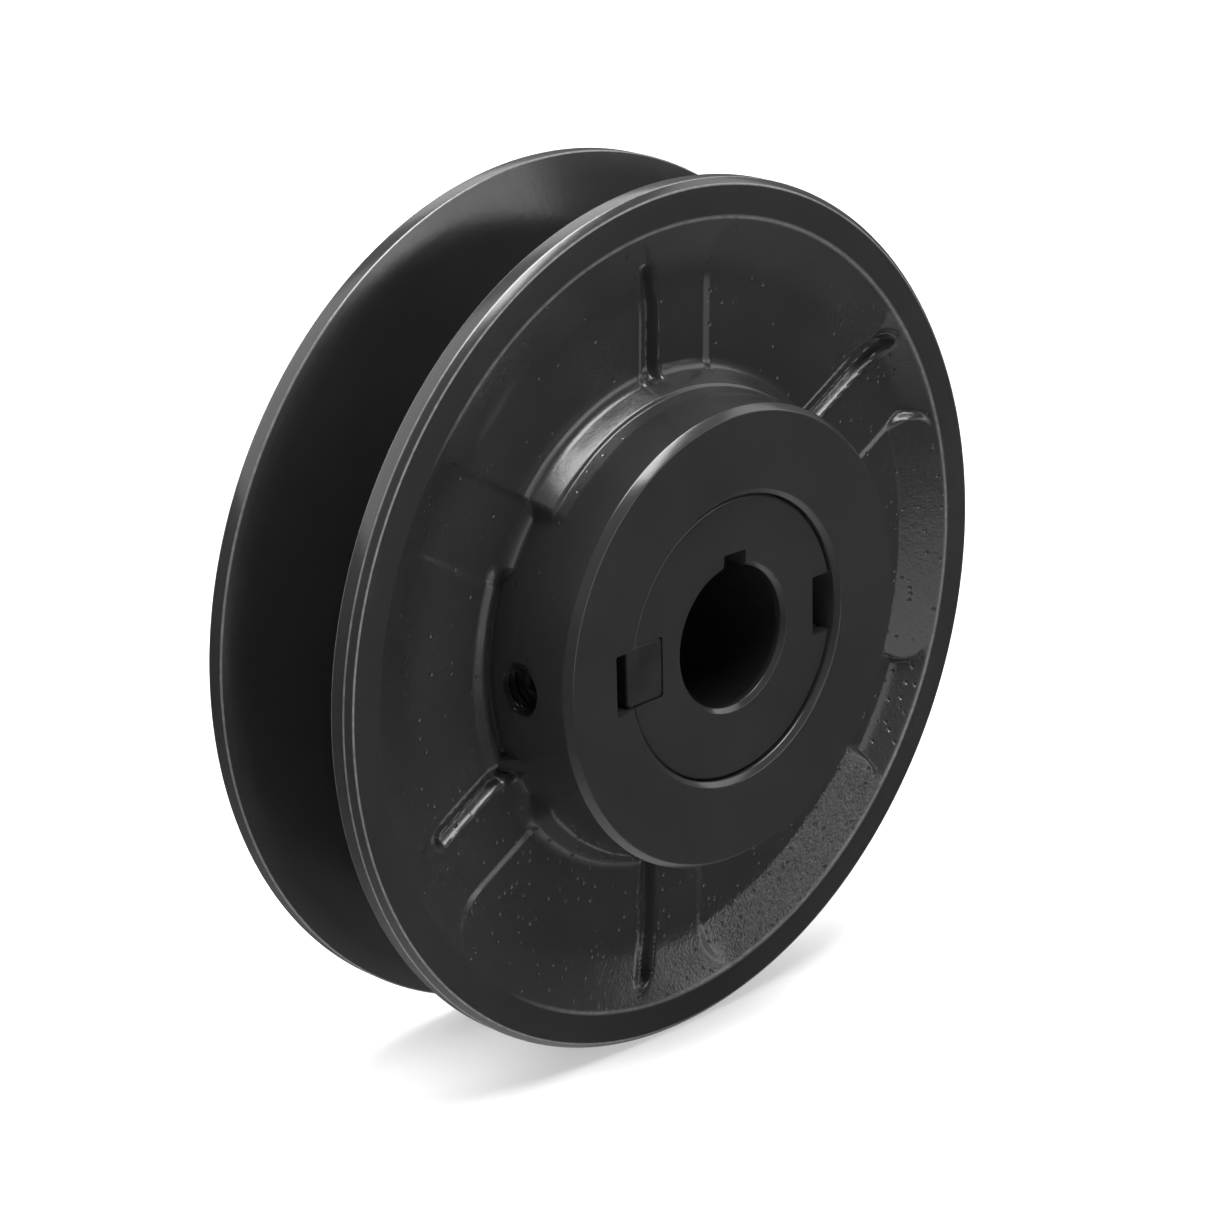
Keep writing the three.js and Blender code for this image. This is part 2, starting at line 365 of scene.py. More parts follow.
def add_attributes(obj, named):
    for name, values in named.items():
        layer = obj.data.attributes.new(name, "FLOAT", "POINT")
        layer.data.foreach_set("value", np.asarray(values, np.float32))


def subtract(obj, cutters):
    for cutter in cutters:
        cut = obj.modifiers.new("cut", "BOOLEAN")
        cut.operation = "DIFFERENCE"
        cut.solver = "EXACT"
        cut.object = cutter
        bpy.context.view_layer.update()
        evaluated = obj.evaluated_get(bpy.context.evaluated_depsgraph_get())
        shape = bpy.data.meshes.new_from_object(evaluated)
        obj.modifiers.clear()
        old = obj.data
        obj.data = shape
        bpy.data.meshes.remove(old)
        bpy.data.objects.remove(cutter)


def shade(obj, degrees=35):
    obj.data.polygons.foreach_set("use_smooth", [True] * len(obj.data.polygons))
    obj.data.set_sharp_from_angle(angle=math.radians(degrees))


# ---------------------------------------------------------------- bars, threads and cutters

def radial_point(bearing, along, y, across):
    """The point at a distance along a radius and a distance across it, at one y."""
    c, s = math.cos(bearing), math.sin(bearing)
    return along * c - across * s, y, along * s + across * c


def radial_bar(bearing, y, rings):
    """Points of a round bar along a radius, from rings of (distance from the axis, radii)."""
    points = []
    for along, radii in rings:
        for j, radius in enumerate(radii):
            t = 2 * math.pi * j / len(radii)
            points.append(radial_point(bearing, along, y + radius * math.cos(t), radius * math.sin(t)))
    return points


def thread_form(along, turns, pitch, sink):
    """How far a thread stands up, from 0 at its root to 1 at its crest."""
    phase = (along / pitch + turns) % 1.0
    wave = 1 - np.abs(2 * phase - 1)
    return np.clip(1.5 * wave - sink, 0, 1)


def keyway_cutter(bearing, inner, outer, width, y_low, y_high, corner=KEYWAY_CORNER):
    """A slot along Y between two distances along a radius, with small rounded corners at the outer one.

    Both distances are negative for a keyway whose floor faces outwards, on the far side of the axis.
    """
    half = width / 2
    quarter = [math.pi / 2 * k / 4 for k in range(5)]
    path = [(inner, -half)]
    for a in quarter:
        path.append((outer - corner + corner * math.sin(a), -half + corner - corner * math.cos(a)))
    for a in quarter:
        path.append((outer - corner + corner * math.cos(a), half - corner + corner * math.sin(a)))
    path.append((inner, half))
    points = [radial_point(bearing, along, y, across)
              for y in (y_low, y_high) for along, across in path]
    faces = end_faces(2, len(path)) + grid_faces(2, len(path), close_rows=False)
    return fix_normals(mesh_object("cutter", points, faces))


def tapped_hole_cutter(bearing, inner, outer, y, mouth=None):
    """A threaded bar along a radius. mouth is the radius at which the hole opens with a countersink."""
    columns = 32
    rows = int((outer - inner) / SCREW_PITCH * 10)
    widest = TAPPED_MAJOR + COUNTERSINK
    rings = []
    for i in range(rows + 1):
        along = inner + (outer - inner) * i / rows
        least = 0
        if mouth is not None:
            past = along - mouth - COUNTERSINK_HEIGHT
            least = widest if past > 0 else widest - abs(past) * COUNTERSINK_SLOPE
        crests = [thread_form(along, j / columns, SCREW_PITCH, THREAD_SINK) for j in range(columns)]
        radii = [TAPPED_MINOR + (TAPPED_MAJOR - TAPPED_MINOR) * crest for crest in crests]
        rings.append((along, [max(radius, least) for radius in radii]))
    faces = grid_faces(rows + 1, columns, close_rows=False) + end_faces(rows + 1, columns)
    return fix_normals(mesh_object("cutter", radial_bar(bearing, y, rings), faces))


# ---------------------------------------------------------------- flanges

def dish(radii, offset, slope_foot, softness):
    """y of the web's front for one level: soft cast floor and slope, cut off by the turned rim band."""
    fine = np.arange(20.0, RIM_BAND_RADIUS + 9, WEB_STEP)
    slope = (FACE_OFFSET - offset) / (RIM_BAND_RADIUS - slope_foot)
    y = -offset - slope * np.maximum(fine - slope_foot, 0)
    reach = 100
    kernel = np.exp(-0.5 * (np.arange(-reach, reach + 1) * WEB_STEP / softness) ** 2)
    kernel /= kernel.sum()
    y = np.convolve(np.pad(y, reach, mode="reflect", reflect_type="odd"), kernel, mode="valid")
    over = y + FACE_OFFSET
    edge = 0.10
    y = -FACE_OFFSET + 0.5 * (over + np.hypot(over, edge))
    return np.interp(radii, fine, y)


def fillet_rise(radii, hub_radius, fillet):
    """How far the fillet at the hub's foot stands over the web."""
    inside = np.clip(fillet - (radii - hub_radius), 0, fillet)
    return fillet - np.sqrt(np.maximum(fillet**2 - inside**2, 0))


def spoke_place(radius, angle, bearing):
    """Distances along and across a line at a bearing in degrees."""
    turn = angle - math.radians(bearing)
    return radius * np.cos(turn), radius * np.sin(turn)


def in_sector(angle, start, end, fade_in, fade_out):
    """1 between two bearings in degrees, fading to 0 at both."""
    degrees = np.degrees(angle) % 360
    return smoothstep(start, start + fade_in, degrees) * smoothstep(end, end - fade_out, degrees)


def inside_pad(radius, angle):
    """How far a point lies inside its pad, measured round the pad's corners."""
    side = np.full_like(radius, 1e3)
    for bearing, low, high in CHANNELS:
        along, across = spoke_place(radius, angle, bearing)
        outside = np.abs(across - (low + high) / 2) - (high - low) / 2
        side = np.minimum(side, np.where(along > 0, outside, 1e3))
    a = PAD_CORNER - side
    b = np.minimum(PAD_CORNER - (PAD_OUTER_RADIUS - radius), PAD_CORNER - 0.55)
    return PAD_CORNER - (np.hypot(np.maximum(a, 0), np.maximum(b, 0)) + np.minimum(np.maximum(a, b), 0))


def web_front(radius, angle, hub_radius, fillet, relief):
    """Height of the patterned web face over its polar grid."""
    degrees = np.degrees(angle) % 360
    # the slopes up to the rim band are crisper and steeper on the right than on the left
    crisp = np.clip(smoothstep(30, 20, degrees) + smoothstep(270, 282, degrees), 0, 1)
    steep = np.clip(smoothstep(50, 38, degrees) + smoothstep(268, 304, degrees), 0, 1)
    channel = (steep * dish(radius, CHANNEL_OFFSET, CHANNEL_SLOPE_FOOT, FIRM)
               + (1 - steep) * dish(radius, CHANNEL_OFFSET, SOFT_SLOPE_FOOT + 0.7, SOFT))
    pad = (crisp * dish(radius, PAD_OFFSET, PAD_SLOPE_FOOT, CRISP)
           + (1 - crisp) * dish(radius, PAD_OFFSET, SOFT_SLOPE_FOOT, SOFT))
    y = channel + (pad - channel) * smoothstep(-0.7, 0.6, inside_pad(radius, angle))

    # grooves along four of the channels, each with a raised lip
    for bearing, offset, end, bend in SLOTS:
        along, across = spoke_place(radius, angle, bearing)
        bent = np.clip((along - end + SLOT_BEND_LENGTH) / SLOT_BEND_LENGTH, 0, 1.2)
        centre = offset + bend * bent**2
        gap = np.hypot(across - centre, np.maximum(along - end, 0)) - SLOT_HALF_WIDTH
        cut = smoothstep(0.5, -0.55, gap) * (along > 0)
        lip = SLOT_LIP * bell(gap - 0.70, LIP_SPREAD) * (along > 0)
        y = y - lip + cut * SLOT_DEPTH

    rise = fillet_rise(radius, hub_radius, fillet)
    if relief:
        window = in_sector(angle, *RELIEF_SECTOR)
        cut = window * smoothstep(RELIEF_RADIUS - 0.4, RELIEF_RADIUS - 1.1, radius)
        rise = rise * (1 - window)
        y = y + RELIEF_DEPTH * cut - RELIEF_LIP * window * bell(radius - RELIEF_RADIUS, LIP_SPREAD)
    return y - rise


def convexity(path):
    """How sharply a closed section turns outwards at each of its points, from 0 to 1."""
    ahead = np.roll(path, -1, axis=0) - path
    behind = path - np.roll(path, 1, axis=0)
    cross = behind[:, 0] * ahead[:, 1] - behind[:, 1] * ahead[:, 0]
    turn = np.arctan2(cross, np.sum(ahead * behind, axis=1))
    outward = turn * np.sign(np.sum(turn))
    length = 0.5 * (np.hypot(ahead[:, 0], ahead[:, 1]) + np.hypot(behind[:, 0], behind[:, 1]))
    near_rim = path[:, 0] > 40
    return smoothstep(0.06, 0.22, outward) * smoothstep(0.9, 1.5, outward / length) * near_rim


def turn_from(angle, bearing):
    """Degrees from a bearing to an angle, between -180 and 180."""
    return (np.degrees(angle) - bearing + 180) % 360 - 180


def coarse_sand(radius, angle):
    """How coarse the mould's sand was: most along the slope at the lower right."""
    turn = turn_from(angle, COARSE_BEARING)
    patch = smoothstep(23, 18, np.abs(turn)) * smoothstep(52, 55, radius)
    patch = patch * smoothstep(RIM_BAND_RADIUS + 0.2, RIM_BAND_RADIUS - 0.4, radius)
    return np.maximum(patch, COARSE_EVERYWHERE * bell(turn, 80))


def edge_wear_and_highlight(wear_and_highlight, radius, angle):
    """The rim band's inner edge gets the paler edge colour too, partly thinned paint and partly a
    painted highlight, but hardly at all on the left, where that edge shows no highlight.
    """
    near_edge = (radius > RIM_BAND_RADIUS - 1) & (radius < RIM_BAND_RADIUS + 1)
    left = np.abs(turn_from(angle, UNLIT_EDGE_BEARING))
    wear_and_highlight = np.maximum(wear_and_highlight, near_edge * bell(radius - RIM_BAND_RADIUS - 0.05, 0.22))
    return wear_and_highlight * (1 - near_edge * smoothstep(62, 40, left))


def ring_mesh(before, web, after, hub_radius, fillet, mirror, shape, relief=False, seed=1):
    """Points, surface values and row count of a closed ring with the patterned web face in it.

    before and after are the section's points (radius, y, cast) on each side of the web, web is the
    radii of the web's rows, and shape(radius, y, angle) gives each point its final radius.
    """
    before, after = np.array(before, float), np.array(after, float)
    theta = np.linspace(0, 2 * math.pi, AROUND, endpoint=False)
    web_radius = np.repeat(web, AROUND)
    web_y = web_front(web_radius, np.tile(theta, len(web)), hub_radius, fillet, relief)
    radius, y = (
        np.concatenate([np.repeat(before[:, k], AROUND), web_part, np.repeat(after[:, k], AROUND)])
        for k, web_part in enumerate((web_radius, web_y)))
    rows = len(before) + len(web) + len(after)
    angle = np.tile(theta, rows)

    # cast faces are rough and turned ones are smooth, and a cast side faces outwards
    web_cast = smoothstep(RIM_BAND_RADIUS + 0.1, RIM_BAND_RADIUS - 0.6, web)
    cast = np.repeat(np.concatenate([before[:, 2], web_cast, after[:, 2]]), AROUND)
    side = np.repeat(np.concatenate([np.zeros(len(before) + len(web)), after[:, 2]]), AROUND)
    # the groove's faces are marked for painted shade, darkened for the little light between the flanges
    in_groove = np.abs(before[:, 1]) < GROOVE_HALF_WIDTH - 0.1
    groove = np.repeat(np.concatenate([in_groove, np.zeros(len(web) + len(after))]), AROUND)
    # sharp outward edges near the rim get the paler edge colour: thinned paint, and partly a painted
    # highlight along them
    wear_and_highlight = np.repeat(convexity(np.stack([radius[::AROUND], y[::AROUND]], axis=1)), AROUND)

    radius = shape(radius, y, angle)
    if mirror:
        y = -y
    points = np.stack([radius * np.cos(angle), y, radius * np.sin(angle)], axis=1)
    lumps = (BROAD_LUMP_HEIGHT * lattice_noise(points, BROAD_LUMP, seed)
             + FINE_LUMP_HEIGHT * lattice_noise(points, FINE_LUMP, seed + 1))
    points[:, 1] += cast * (1 - side) * lumps
    swell = 1 + cast * side * lumps / radius
    points[:, 0] *= swell
    points[:, 2] *= swell

    surface = {"cast": cast, "wear_and_highlight": edge_wear_and_highlight(wear_and_highlight, radius, angle),
               "coarse": cast * coarse_sand(radius, angle), "groove": groove}
    return points, surface, rows


def darken_holes(obj, bearing, outer, y):
    """Marks the points in a tapped hole and in the bore for painted shade: little light and paint get
    in there.
    """
    where = np.empty(len(obj.data.vertices) * 3, np.float32)
    obj.data.vertices.foreach_get("co", where)
    px, py, pz = (where.reshape(-1, 3) / MM).T
    along = px * math.cos(bearing) + pz * math.sin(bearing)
    across = np.hypot(pz * math.cos(bearing) - px * math.sin(bearing), py - y)
    hole = (along > BORE_RADIUS / 2) & (along < outer) & (across < TAPPED_SHADE)
    bore = (np.hypot(px, pz) < BORE_RADIUS + 0.2) & (py > BARREL_END_Y + 0.9)
    add_attributes(obj, {"deep_shade": (hole | bore).astype(float)})


def web_radii(hub_radius, fillet, turn=88):
    """Rows of the web face, from the rim band in to where the hub's fillet has turned so far."""
    slope = np.arange(RIM_BAND_RADIUS + 0.9, FLOOR_ROWS_FROM, -SLOPE_ROW)
    floor = np.arange(FLOOR_ROWS_FROM, hub_radius + fillet + FLOOR_ROW, -FLOOR_ROW)
    steps = np.radians(np.linspace(0, turn, FOOT_ROWS))
    foot = hub_radius + fillet * (1 - np.sin(steps))
    return np.concatenate([slope, floor, foot])


def flange_front():
    """Corners from the nose round the rim to the rim band."""
    return [
        (NOSE_RADIUS, -NOSE_HALF_GAP, 0.5, 0),
        (RIM_RADIUS, -GROOVE_HALF_WIDTH, 0.35, 0),
        (RIM_RADIUS, -RIM_BACK, 0.5, 0),
        (RIM_RADIUS - RIM_CHAMFER, -FACE_OFFSET, 0.5, 0),
        (RIM_BAND_RADIUS + 1.0, -FACE_OFFSET, 0, 0),
    ]


def hub_foot(radius, y, angle):
    """Draws the hub's foot in to the plain hub radius where its collar is missing."""
    most = 2.6
    spare = np.clip(radius - HUB_RADIUS, 0, most) * smoothstep(41.0, HUB_BASE_RADIUS + 0.2, radius)
    foot = (y < -10) & (y > HUB_FACE_Y + 2)
    return radius - foot * in_sector(angle, *COLLAR_GAP_SECTOR) * spare


def adjustable_flange():
    before = rounded([(HUB_BORE_RADIUS, -4.0, 0, 0), (HUB_BORE_RADIUS, -NOSE_HALF_GAP, 0.3, 0)]
                     + flange_front())
    # the cast collar starts where the web's rows end, partly up the hub's fillet
    lean = math.radians(COLLAR_TILT)
    collar_radius = HUB_BASE_RADIUS + HUB_FILLET * (1 - math.sin(lean))
    collar_y = -CHANNEL_OFFSET - 0.2 - HUB_FILLET * (1 - math.cos(lean))
    after = rounded([
        (collar_radius - 0.34, collar_y - 0.8, 0, 1),
        (collar_radius - 1.16, collar_y - 2.73, 0.8, 1),
        (collar_radius - 1.6, collar_y - 3.0, 0.5, 1),
        (HUB_RADIUS + 0.08, collar_y - 4.9, 1.2, 1),
        (HUB_RADIUS, HUB_FACE_Y + HUB_CHAMFER_LENGTH, 0.35, 0),
        (HUB_RADIUS - HUB_CHAMFER, HUB_FACE_Y, 0.3, 0),
        (HUB_BORE_RADIUS + HUB_BORE_CHAMFER, HUB_FACE_Y, 0.3, 0),
        (HUB_BORE_RADIUS, HUB_FACE_Y + HUB_BORE_CHAMFER_LENGTH, 0.3, 0),
        (HUB_BORE_RADIUS, -5.0, 0, 0),
    ])
    points, surface, rows = ring_mesh(
        subdivided(before, 4.0), web_radii(HUB_BASE_RADIUS, HUB_FILLET, COLLAR_TILT),
        subdivided(after, 2.0), HUB_BASE_RADIUS, HUB_FILLET, False, hub_foot, relief=True, seed=11)
    obj = mesh_object("adjustable_flange_casting", points, grid_faces(rows, AROUND),
                      "adjustable_half", "painted_iron", "adjustable_flange")
    fix_normals(obj)
    add_attributes(obj, surface)
    subtract(obj, [
        keyway_cutter(KEY_SIDE, 18, HUB_KEYWAY_TOP, KEYWAY_WIDTH, HUB_FACE_Y - 1, 0),
        tapped_hole_cutter(KEY_SIDE, 20, HUB_BASE_RADIUS + 1.5, HUB_SCREW_Y),
    ])
    darken_holes(obj, KEY_SIDE, HUB_RADIUS - 0.15, HUB_SCREW_Y)
    shade(obj)
    return obj


def barrel_thread(radius, y, angle):
    """The barrel's outside thread, as a radius for each point."""
    y = -y
    crest = thread_form(y, angle / (2 * math.pi), BARREL_PITCH, 0.2)
    fade = smoothstep(BARREL_END_Y + 0.5, BARREL_END_Y + 1.6, y) * smoothstep(2.9, 2.0, y)
    on_barrel = np.abs(radius - BARREL_RADIUS) < 0.01
    return np.where(on_barrel, radius - BARREL_THREAD_DEPTH * fade * (1 - crest), radius)


def fixed_flange():
    end = rounded([
        (BORE_RADIUS, BARREL_END_Y + 3, 0, 0),
        (BORE_RADIUS, BARREL_END_Y + BORE_CHAMFER, 0.15, 0),
        (BORE_RADIUS + BORE_CHAMFER, BARREL_END_Y, 0.15, 0),
        (BARREL_RADIUS - BARREL_CHAMFER, BARREL_END_Y, 0.2, 0),
        (BARREL_RADIUS, BARREL_END_Y + BARREL_CHAMFER, 0.15, 0),
        (BARREL_RADIUS, BARREL_END_Y + 0.69, 0, 0),
    ])
    thread_start, thread_end = BARREL_END_Y + 0.7, NOSE_HALF_GAP - 0.2
    barrel = [(BARREL_RADIUS, y, 0) for y in np.arange(thread_start, thread_end, BARREL_PITCH / 9)]
    root = [(BARREL_RADIUS, NOSE_HALF_GAP - 0.1, 0, 0), (BARREL_RADIUS + 0.6, NOSE_HALF_GAP, 0.2, 0)]
    rim = rounded(root + [(r, -y, fillet, cast) for r, y, fillet, cast in flange_front()])
    before = subdivided(end, 2.0) + barrel + subdivided(rim, 4.0)
    after = subdivided(rounded([
        (REAR_HUB_RADIUS - 0.01, 15.6, 0, 1),
        (REAR_HUB_RADIUS, REAR_HUB_END_Y - REAR_HUB_CHAMFER, 0.4, 1),
        (REAR_HUB_RADIUS - REAR_HUB_CHAMFER, REAR_HUB_END_Y, 0.4, 0),
        (BORE_RADIUS + BORE_CHAMFER, REAR_HUB_END_Y, 0.15, 0),
        (BORE_RADIUS, REAR_HUB_END_Y - BORE_CHAMFER, 0.15, 0),
        (BORE_RADIUS, BARREL_END_Y + 4, 0, 0),
    ]), 2.5)
    # the section is turned over here and back again by ring_mesh, so that the web faces inboard
    before, after = ([(r, -y, cast) for r, y, cast in part] for part in (before, after))
    points, surface, rows = ring_mesh(
        before, web_radii(REAR_HUB_RADIUS, REAR_HUB_FILLET), after,
        REAR_HUB_RADIUS, REAR_HUB_FILLET, True, barrel_thread, seed=31)
    obj = mesh_object("fixed_flange_casting", points, grid_faces(rows, AROUND),
                      "fixed_half", "painted_iron", "fixed_flange_and_barrel")
    fix_normals(obj)
    add_attributes(obj, surface)
    far = BARREL_END_Y - 1
    up = math.pi / 2
    subtract(obj, [
        keyway_cutter(KEY_SIDE + math.pi, -24, -KEYWAY_FLOOR, KEYWAY_WIDTH, far, KEYWAY_END_Y),
        keyway_cutter(KEYWAY_TILT + math.pi, -24, -SPARE_KEYWAY_FLOOR, KEYWAY_WIDTH, far, KEYWAY_END_Y),
        keyway_cutter(up, 5, BORE_KEYWAY_TOP, BORE_KEYWAY_WIDTH, far, REAR_HUB_END_Y + 1,
                      BORE_KEYWAY_CORNER),
        tapped_hole_cutter(up, 12, REAR_HUB_RADIUS + 2.6, REAR_SCREW_Y, mouth=REAR_HUB_RADIUS),
    ])
    darken_holes(obj, up, REAR_HUB_RADIUS - 0.15, REAR_SCREW_Y)
    shade(obj)
    return obj


# ---------------------------------------------------------------- key and setscrews

def locking_key():
    half = KEY_WIDTH / 2
    low, high = KEY_BOTTOM + KEY_CHAMFER, KEY_TOP - KEY_CHAMFER
    side = half - KEY_CHAMFER
    outline = [(low, -half), (high, -half), (KEY_TOP, -side), (KEY_TOP, side),
               (high, half), (low, half), (KEY_BOTTOM, side), (KEY_BOTTOM, -side)]
    middle = (KEY_BOTTOM + KEY_TOP) / 2
    inner_y = KEY_OUTER_Y + KEY_LENGTH
    rings = [(KEY_OUTER_Y, KEY_END_CHAMFER), (KEY_OUTER_Y + KEY_END_CHAMFER, 0.0),
             (inner_y - KEY_END_CHAMFER, 0.0), (inner_y, KEY_END_CHAMFER)]
    points = [
        radial_point(KEY_SIDE, along - math.copysign(inset, along - middle), y,
                     across - math.copysign(inset, across))
        for y, inset in rings for along, across in outline
    ]
    faces = grid_faces(len(rings), len(outline), close_rows=False) + end_faces(len(rings), len(outline))
    obj = mesh_object("locking_key_bar", points, faces, "key", "dark_steel", "locking_key")
    fix_normals(obj)
    bevel = obj.modifiers.new("edges", "BEVEL")
    bevel.width = 0.08 * MM
    bevel.segments = 2
    shade(obj, 30)
    return obj


def setscrew(name, body, replaced, bearing, tip, y):
    """A cup-point setscrew with its thread and hexagon socket, along a radius."""
    columns = 48
    rows = int(SCREW_LENGTH / SCREW_PITCH * 12)

    def thread_radius(along, turns):
        crest = thread_form(along, turns, SCREW_PITCH, THREAD_SINK)
        radius = SCREW_RADIUS - SCREW_THREAD_DEPTH * (1 - crest)
        point = SCREW_POINT_RADIUS + along * SCREW_POINT_SLOPE
        head = SCREW_RADIUS - 0.5 + (SCREW_LENGTH - along)
        return min(radius, point, head)

    def socket_radius(j):
        t = 2 * math.pi * j / columns
        return SOCKET_ACROSS_FLATS / 2 / math.cos((t + math.pi / 6) % (math.pi / 3) - math.pi / 6)

    rings = [(along, [radius] * columns) for along, radius in SCREW_CUP_RINGS]
    for i in range(rows + 1):
        along = SCREW_LENGTH * i / rows
        rings.append((along, [thread_radius(along, j / columns) for j in range(columns)]))
    rings.append((SCREW_LENGTH, [SOCKET_MOUTH_RADIUS] * columns))
    for depth in (SOCKET_CHAMFER, SOCKET_DEPTH):
        rings.append((SCREW_LENGTH - depth, [socket_radius(j) for j in range(columns)]))

    points = radial_bar(bearing, y, [(tip + along, radii) for along, radii in rings])
    faces = grid_faces(len(rings), columns, close_rows=False)
    cup_centre, socket_centre = len(points), len(points) + 1
    points.append(radial_point(bearing, tip + SCREW_CUP_DEPTH, y, 0))
    points.append(radial_point(bearing, tip + SCREW_LENGTH - SOCKET_DEPTH - SOCKET_CONE, y, 0))
    last = (len(rings) - 1) * columns
    for j in range(columns):
        k = (j + 1) % columns
        faces.append((cup_centre, j, k))
        faces.append((socket_centre, last + k, last + j))
    obj = mesh_object(name, points, faces, body, "dark_steel", replaced)
    fix_normals(obj)
    shade(obj, 40)
    return obj


# ---------------------------------------------------------------- materials

def node(tree, kind, **inputs):
    made = tree.nodes.new(kind)
    for key, value in inputs.items():
        made.inputs[key].default_value = value
    return made


def attribute(tree, name):
    made = tree.nodes.new("ShaderNodeAttribute")
    made.attribute_name = name
    return made.outputs["Fac"]


def ramp(tree, source, low, high, dark, light):
    """A colour that goes from dark to light as the source goes from low to high."""
    made = tree.nodes.new("ShaderNodeValToRGB")
    for element, position, value in zip(made.color_ramp.elements, (low, high), (dark, light)):
        element.position = position
        element.color = (*value, 1)
    tree.links.new(source, made.inputs["Fac"])
    return made.outputs["Color"]


def spread(tree, source, low, high, from_low=0.0, from_high=1.0):
    """A number between low and high as the source goes from from_low to from_high."""
    made = tree.nodes.new("ShaderNodeMapRange")
    limits = (("From Min", from_low), ("From Max", from_high), ("To Min", low), ("To Max", high))
    for key, value in limits:
        made.inputs[key].default_value = value
    tree.links.new(source, made.inputs["Value"])
    return made.outputs["Result"]


def combine(tree, operation, first, second):
    made = tree.nodes.new("ShaderNodeMath")
    made.operation = operation
    for socket, value in zip(made.inputs, (first, second)):
        if isinstance(value, float):
            socket.default_value = value
        else:
            tree.links.new(value, socket)
    return made.outputs["Value"]


def mixed(tree, amount, first, second):
    """A colour between two others, each given as a colour or as another node's output."""
    made = tree.nodes.new("ShaderNodeMix")
    made.data_type = "RGBA"
    tree.links.new(amount, made.inputs["Factor"])
    for key, value in (("A", first), ("B", second)):
        if isinstance(value, tuple):
            made.inputs[key].default_value = (*value, 1)
        else:
            tree.links.new(value, made.inputs[key])
    return made.outputs["Result"]


def bumped(tree, height, strength, distance, normal=None):
    """One layer of bump over an earlier one."""
    made = node(tree, "ShaderNodeBump", Distance=distance)
    tree.links.new(height, made.inputs["Height"])
    if isinstance(strength, float):
        made.inputs["Strength"].default_value = strength
    else:
        tree.links.new(strength, made.inputs["Strength"])
    if normal:
        tree.links.new(normal, made.inputs["Normal"])
    return made.outputs["Normal"]


def new_material(name):
    """A new material, with its node tree and shader."""
    material = bpy.data.materials.new(name)
    material.use_nodes = True
    return material, material.node_tree, material.node_tree.nodes["Principled BSDF"]


def noises(tree, *settings):
    """Noise textures in object space, each from its (scale, detail, roughness)."""
    place = tree.nodes.new("ShaderNodeTexCoord").outputs["Object"]
    made = []
    for scale, detail, roughness in settings:
        noise = node(tree, "ShaderNodeTexNoise", Scale=scale, Detail=detail, Roughness=roughness)
        tree.links.new(place, noise.inputs["Vector"])
        made.append(noise.outputs["Fac"])
    return made


def blow_holes(tree, cast, coarse):
    """Small holes in the casting, in the cells whose own random number is high."""
    cells = node(tree, "ShaderNodeTexVoronoi", Scale=HOLE_CELLS)
    tree.links.new(tree.nodes.new("ShaderNodeTexCoord").outputs["Object"], cells.inputs["Vector"])
    chance = tree.nodes.new("ShaderNodeSeparateColor")
    tree.links.new(cells.outputs["Color"], chance.inputs["Color"])
    crowd = combine(tree, "MINIMUM", combine(tree, "MULTIPLY", coarse, 1.4), 0.26)
    likely = combine(tree, "ADD", chance.outputs["Red"], crowd)
    chosen = combine(tree, "GREATER_THAN", likely, 0.94)
    hole = spread(tree, cells.outputs["Distance"], 1.0, 0.0, 0.0, 0.32)
    return combine(tree, "MULTIPLY", combine(tree, "MULTIPLY", hole, chosen), cast)


def painted_iron():
    """Glossy black enamel: grainy over cast faces, nearly smooth over turned ones."""
    material, tree, shader = new_material("satin_black_enamel")
    link = tree.links.new
    cast, coarse, groove, deep_shade, wear_and_highlight = (
        attribute(tree, name) for name in ("cast", "coarse", "groove", "deep_shade", "wear_and_highlight"))
    sand, gravel, grain, cloud = noises(tree, SAND, GRAVEL, GRAIN, CLOUD)
    hole = blow_holes(tree, cast, coarse)

    # paint thinned on the edges and paler there, partly as a painted highlight; painted shade darkens
    # the groove, the holes and the bore, where little light gets in
    rubbed_and_lit = combine(tree, "MULTIPLY", wear_and_highlight, spread(tree, grain, 0.6, 1.0, 0.35, 0.65))
    worn_and_lit = mixed(tree, rubbed_and_lit, ramp(tree, cloud, 0.35, 0.7, PAINT_DARK, PAINT_LIGHT), PAINT_WORN_AND_LIT)
    light = combine(tree, "MULTIPLY", spread(tree, groove, 1.0, 0.55), spread(tree, deep_shade, 1.0, 0.35))
    link(mixed(tree, light, PAINT_UNLIT, worn_and_lit), shader.inputs["Base Color"])
    link(spread(tree, deep_shade, 0.5, 0.12), shader.inputs["Specular IOR Level"])

    roughness = combine(tree, "ADD", spread(tree, cast, 0.15, 0.21), spread(tree, grain, -0.02, 0.08))
    link(combine(tree, "ADD", roughness, spread(tree, cloud, -0.03, 0.05)), shader.inputs["Roughness"])

    patches = combine(tree, "ADD", spread(tree, cloud, 0.10, 0.42, 0.40, 0.65), coarse)
    roughcast = combine(tree, "MULTIPLY", cast, patches)
    normal = bumped(tree, grain, spread(tree, roughcast, 0.10, 0.60), GRAIN_HEIGHT)
    normal = bumped(tree, gravel, combine(tree, "MULTIPLY", coarse, 0.9), GRAVEL_HEIGHT, normal)
    normal = bumped(tree, sand, spread(tree, roughcast, 0.04, 0.70), SAND_HEIGHT, normal)
    normal = bumped(tree, combine(tree, "SUBTRACT", 1.0, hole), 0.9, HOLE_DEPTH, normal)
    link(normal, shader.inputs["Normal"])
    return material


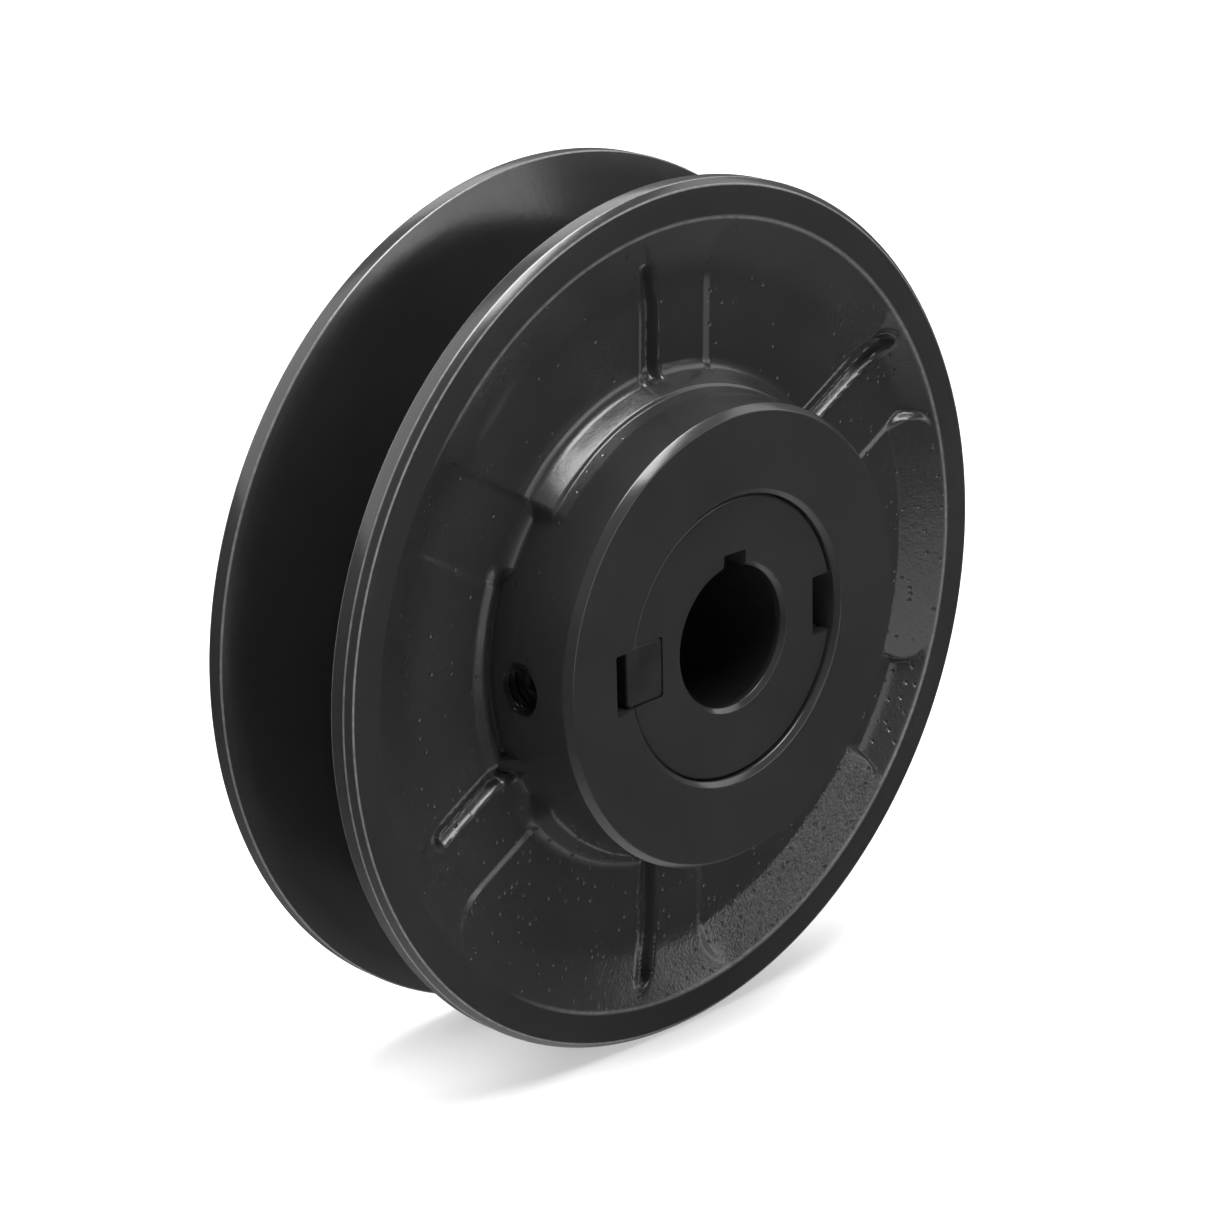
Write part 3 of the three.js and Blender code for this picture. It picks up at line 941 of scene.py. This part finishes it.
def black_steel():
    """Black-oxide steel with a mottled tone."""
    material, tree, shader = new_material("black_oxide_steel")
    link = tree.links.new
    grain, cloud = noises(tree, OXIDE_GRAIN, OXIDE_CLOUD)
    link(ramp(tree, cloud, 0.3, 0.8, OXIDE_DARK, OXIDE_LIGHT), shader.inputs["Base Color"])
    link(spread(tree, grain, 0.32, 0.55), shader.inputs["Roughness"])
    link(bumped(tree, grain, 0.3, OXIDE_HEIGHT), shader.inputs["Normal"])
    shader.inputs["Metallic"].default_value = 0.7
    return material


# ---------------------------------------------------------------- floor, lights and camera

def area_light(name, size, power, location, target):
    data = bpy.data.lights.new(name, "AREA")
    data.shape = "RECTANGLE"
    data.size, data.size_y = size
    data.energy = power
    light = bpy.data.objects.new(name, data)
    light.location = location
    direction = Vector(target) - Vector(location)
    light.rotation_euler = direction.to_track_quat("-Z", "Y").to_euler()
    bpy.context.scene.collection.objects.link(light)


def paper_floor():
    """A white floor under the rim. It isn't mirrored in the paint, where it would hide the shapes."""
    half = FLOOR_HALF / MM
    low = -RIM_RADIUS - FLOOR_CLEARANCE / MM
    corners = [(-half, -half, low), (half, -half, low), (half, half, low), (-half, half, low)]
    floor = mesh_object("studio_floor", corners, [(0, 1, 2, 3)])
    floor.visible_glossy = False
    paper, _, shader = new_material("white_paper")
    shader.inputs["Base Color"].default_value = (FLOOR_SHADE, FLOOR_SHADE, FLOOR_SHADE, 1)
    shader.inputs["Emission Color"].default_value = (1, 1, 1, 1)
    shader.inputs["Emission Strength"].default_value = FLOOR_GLOW
    shader.inputs["Roughness"].default_value = 0.9
    shader.inputs["Specular IOR Level"].default_value = 0.1
    floor.data.materials.append(paper)


def room():
    """The light all round, by elevation, which is also what the paint mirrors."""
    world = bpy.data.worlds.new("studio")
    bpy.context.scene.world = world
    world.use_nodes = True
    tree = world.node_tree
    background = tree.nodes["Background"]
    background.inputs["Strength"].default_value = 1.0
    place = tree.nodes.new("ShaderNodeTexCoord")
    split = tree.nodes.new("ShaderNodeSeparateXYZ")
    tree.links.new(place.outputs["Generated"], split.inputs["Vector"])
    height = spread(tree, split.outputs["Z"], 0.0, 1.0, -1.0, 1.0)
    sky = ramp(tree, height, 0.0, 1.0, (ROOM_DOWN,) * 3, (ROOM_UP,) * 3)
    for position, value in ROOM_BETWEEN:
        sky.node.color_ramp.elements.new(position).color = (value, value, value, 1)
    tree.links.new(sky, background.inputs["Color"])


def camera():
    a, e = VIEW_AZIMUTH, VIEW_ELEVATION
    back = Vector((math.sin(a) * math.cos(e), -math.cos(a) * math.cos(e), math.sin(e)))
    right = Vector((math.cos(a), math.sin(a), 0))
    up = back.cross(right)
    target = Vector((0, VIEW_AIM_Y * MM, 0)) + right * VIEW_SHIFT_RIGHT + up * VIEW_SHIFT_UP
    data = bpy.data.cameras.new("camera")
    data.lens = LENS_MM
    data.sensor_width = SENSOR_MM
    data.clip_start = 0.01
    made = bpy.data.objects.new("camera", data)
    turned = Matrix((right, up, back)).transposed()
    made.matrix_world = Matrix.Translation(target + back * VIEW_DISTANCE) @ turned.to_4x4()
    bpy.context.scene.collection.objects.link(made)
    bpy.context.scene.camera = made


# ---------------------------------------------------------------- the pulley in its studio

enamel = painted_iron()
steel = black_steel()
for casting in (adjustable_flange(), fixed_flange()):
    casting.data.materials.clear()
    casting.data.materials.append(enamel)
for fastener in (
    setscrew("locking_setscrew_body", "hub_screw", "locking_setscrew", KEY_SIDE, HUB_SCREW_TIP,
             HUB_SCREW_Y),
    setscrew("shaft_setscrew_body", "bore_screw", "shaft_setscrew", math.pi / 2, REAR_SCREW_TIP,
             REAR_SCREW_Y),
    locking_key(),
):
    fastener.data.materials.clear()
    fastener.data.materials.append(steel)

paper_floor()
room()
for light in LIGHTS:
    area_light(*light)
bpy.context.scene.view_settings.view_transform = "Standard"
camera()
